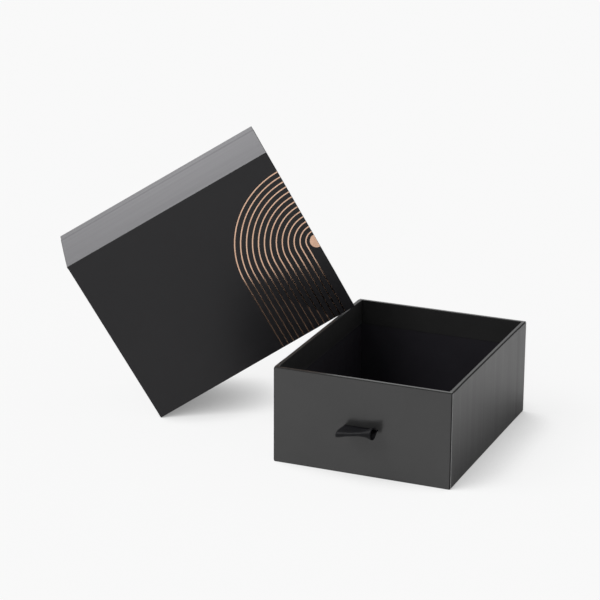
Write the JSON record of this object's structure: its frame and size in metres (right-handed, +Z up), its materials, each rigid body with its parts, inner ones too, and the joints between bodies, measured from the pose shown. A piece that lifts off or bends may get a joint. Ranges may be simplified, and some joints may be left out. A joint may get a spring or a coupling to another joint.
{
  "type": "sliding drawer gift box",
  "caption": "Rigid black gift box: an open drawer with a ribbon pull, and its foil-printed sleeve drawn off and leaning over the drawer's rim.",
  "frame": {"origin": "middle of the drawer's underside, on the surface that the box stands on", "axes": "+Z up, the drawer's front with its ribbon pull faces -Y, and the sleeve leans on the drawer's left rim, towards -X"},
  "size_m": [0.3075, 0.182, 0.1816],
  "materials": {
    "black_paper": "satin",
    "greyboard": "matte",
    "stay_paper": "matte",
    "ribbon": "satin",
    "copper_foil": "polished"
  },
  "bodies": {
    "sleeve": {"sleeve_top_board": "greyboard", "sleeve_left_board": "greyboard", "sleeve_bottom_board": "greyboard", "sleeve_right_board": "greyboard", "sleeve_edge_stay_1": "stay_paper", "sleeve_edge_stay_2": "stay_paper", "sleeve_edge_stay_3": "stay_paper", "sleeve_edge_stay_4": "stay_paper", "sleeve_wrap_top": "black_paper", "sleeve_wrap_left": "black_paper", "sleeve_wrap_bottom": "black_paper", "sleeve_wrap_right": "black_paper", "sleeve_wrap_lap": "black_paper", "sleeve_lining": "black_paper", "foil_arch_01": "copper_foil", "foil_arch_02": "copper_foil", "foil_arch_03": "copper_foil", "foil_arch_04": "copper_foil", "foil_arch_05": "copper_foil", "foil_arch_06": "copper_foil", "foil_arch_07": "copper_foil", "foil_arch_08": "copper_foil", "foil_arch_09": "copper_foil", "foil_arch_10": "copper_foil", "foil_arch_11": "copper_foil", "foil_arch_12": "copper_foil", "foil_arch_13": "copper_foil", "foil_dot": "copper_foil"},
    "drawer": {"drawer_base_board": "greyboard", "drawer_front_board": "greyboard", "drawer_back_board": "greyboard", "drawer_left_board": "greyboard", "drawer_right_board": "greyboard", "drawer_corner_stay_1": "stay_paper", "drawer_corner_stay_2": "stay_paper", "drawer_corner_stay_3": "stay_paper", "drawer_corner_stay_4": "stay_paper", "drawer_wrap_base": "black_paper", "drawer_wrap_front": "black_paper", "drawer_wrap_back": "black_paper", "drawer_wrap_left": "black_paper", "drawer_wrap_right": "black_paper", "drawer_lining_walls": "black_paper", "drawer_lining_floor": "black_paper", "ribbon_tails": "ribbon", "ribbon_patch": "black_paper"},
    "pull": {"ribbon_loop": "ribbon"}
  },
  "joints": [
    {"name": "drawer_slide", "type": "slide", "parent": "sleeve", "child": "drawer", "axis": [0, -1, 0], "range_m": [-0.1, 0.046]},
    {"name": "pull_hinge", "type": "hinge", "parent": "drawer", "child": "pull", "pos_m": [0, -0.0751, 0.0322], "axis": [1, 0, 0], "range_deg": [-50, 50]}
  ]
}
